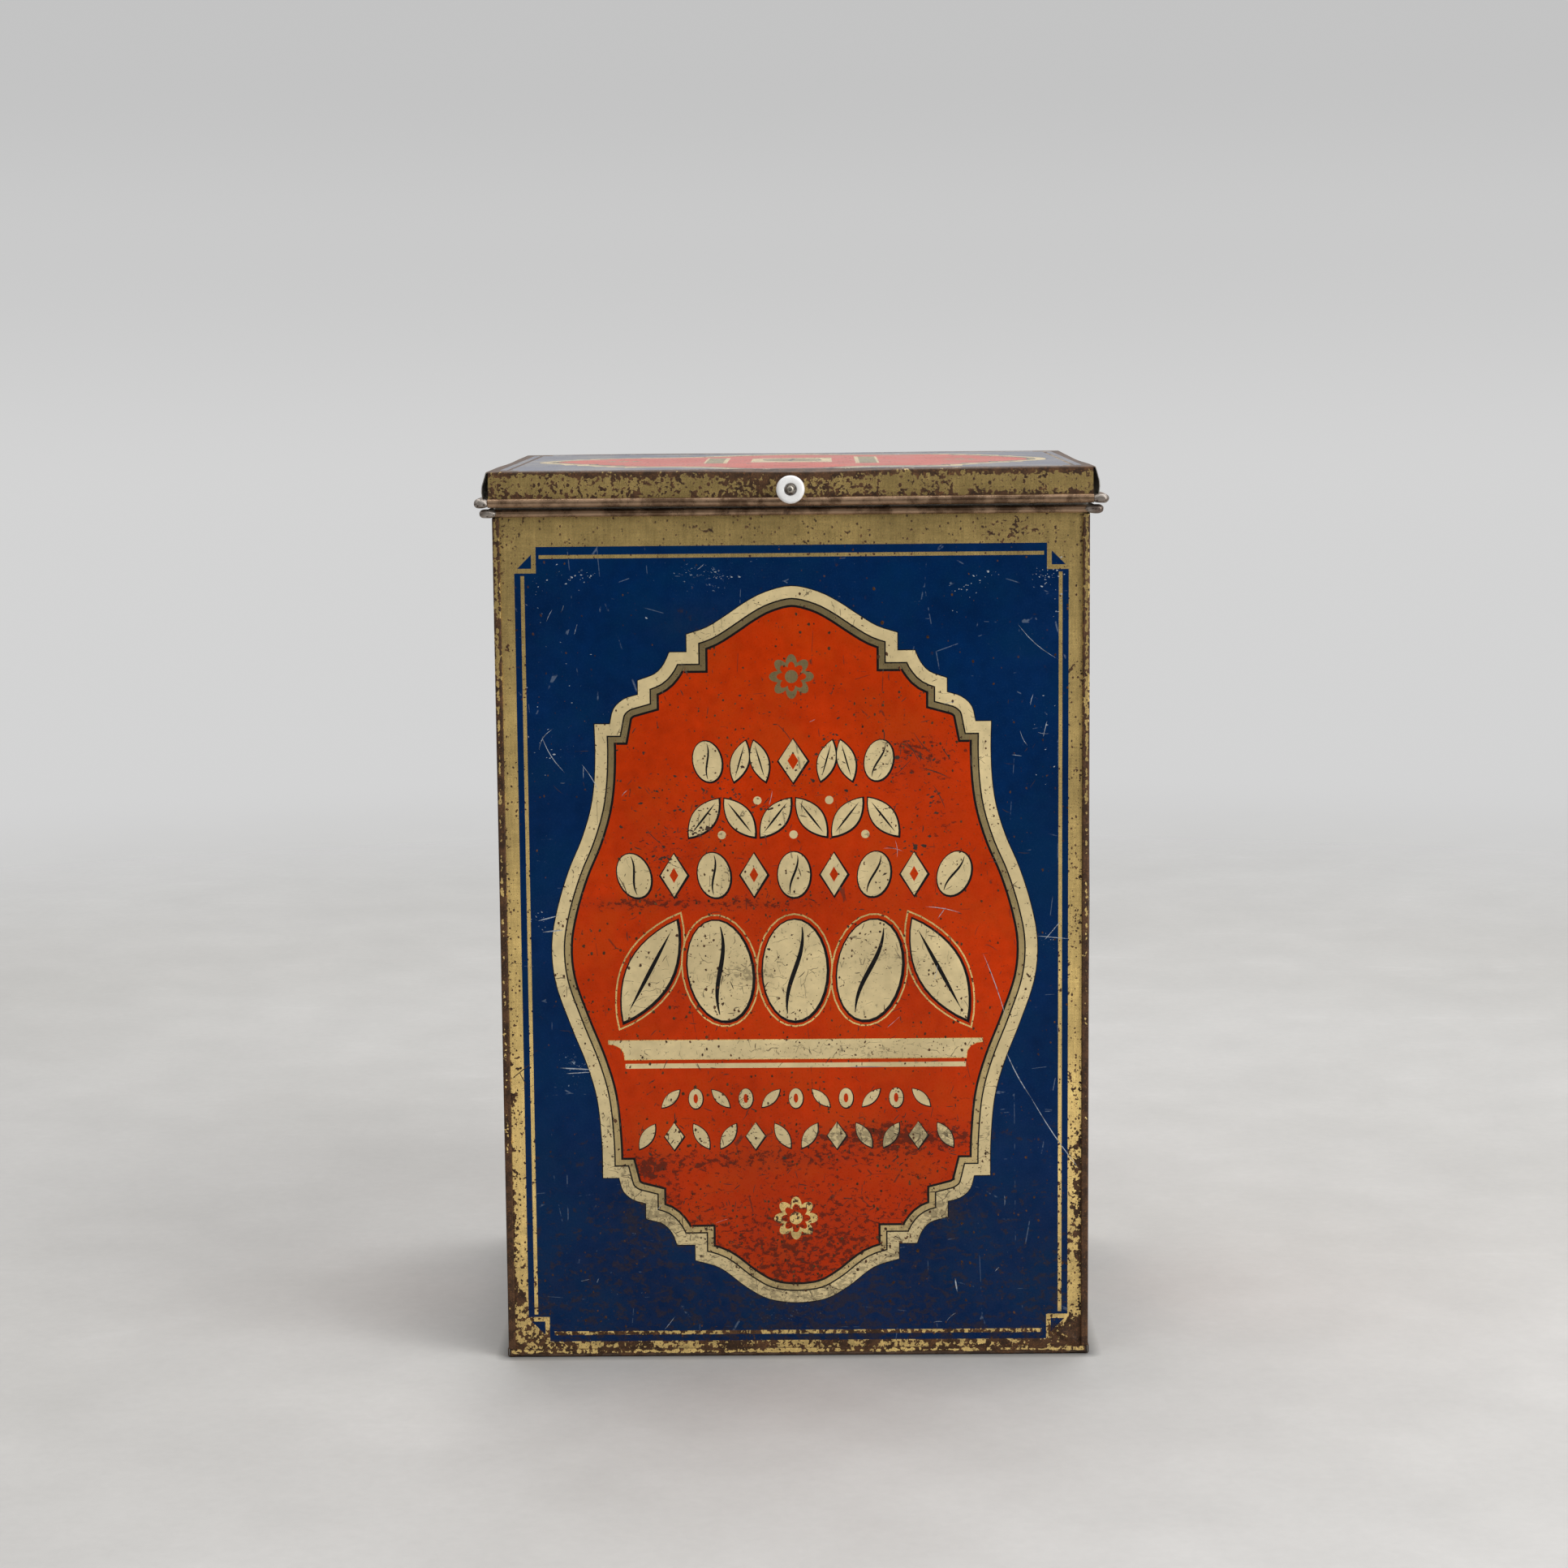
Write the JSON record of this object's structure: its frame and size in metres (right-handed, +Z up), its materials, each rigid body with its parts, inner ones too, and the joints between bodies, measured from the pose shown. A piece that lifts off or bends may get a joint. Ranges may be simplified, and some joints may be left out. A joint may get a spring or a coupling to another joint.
{
  "type": "hinged-lid storage tin",
  "caption": "Tall rectangular shop tin for dry goods, with printed tinplate walls, a hinged wired lid and a small porcelain lift knob.",
  "frame": {"origin": "centre of the base's underside, on the surface the tin stands on", "axes": "+Z up, the front with the knob faces -Y, +X to the right seen from the front"},
  "size_m": [0.2972, 0.2511, 0.4275],
  "materials": {
    "printed_tin": "lithographed tinplate: dark blue with gold borders, worn and freckled with rust",
    "rusty_tin": "lacquered tinplate gone brown with rust",
    "bare_tin": "dull bare tinplate, lightly stained",
    "iron_wire": "dark drawn iron wire",
    "solder": "lumpy dull solder",
    "porcelain": "glossy white glaze, slightly aged",
    "screw_steel": "plated steel, tarnished"
  },
  "bodies": {
    "tin": {"front_panel": "printed_tin", "back_panel": "printed_tin", "left_panel": "printed_tin", "right_panel": "printed_tin", "base_pan": "rusty_tin", "inner_collar": "bare_tin", "rim_wire_front": "iron_wire", "rim_wire_back": "iron_wire", "rim_wire_left": "iron_wire", "rim_wire_right": "iron_wire", "rim_solder_front_left": "solder", "rim_solder_front_right": "solder", "rim_solder_back_left": "solder", "rim_solder_back_right": "solder", "hinge_left_body_leaf": "bare_tin", "hinge_left_pin": "iron_wire", "hinge_left_body_rivet_1": "screw_steel", "hinge_left_body_rivet_2": "screw_steel", "hinge_right_body_leaf": "bare_tin", "hinge_right_pin": "iron_wire", "hinge_right_body_rivet_1": "screw_steel", "hinge_right_body_rivet_2": "screw_steel"},
    "lid": {"lid_shell": "printed_tin", "lid_wire_front": "iron_wire", "lid_wire_back": "iron_wire", "lid_wire_left": "iron_wire", "lid_wire_right": "iron_wire", "lid_solder_front_left": "solder", "lid_solder_front_right": "solder", "lid_solder_back_left": "solder", "lid_solder_back_right": "solder", "knob": "porcelain", "knob_screw": "screw_steel", "knob_washer": "screw_steel", "knob_nut": "screw_steel", "hinge_left_lid_leaf": "bare_tin", "hinge_left_lid_rivet_1": "screw_steel", "hinge_left_lid_rivet_2": "screw_steel", "hinge_right_lid_leaf": "bare_tin", "hinge_right_lid_rivet_1": "screw_steel", "hinge_right_lid_rivet_2": "screw_steel", "knob_cup_washer": "screw_steel"}
  },
  "joints": [
    {"name": "lid_hinge", "type": "hinge", "parent": "tin", "child": "lid", "pos_m": [0, 0.1226, 0.411], "axis": [-1, 0, 0], "range_deg": [0, 228]}
  ]
}
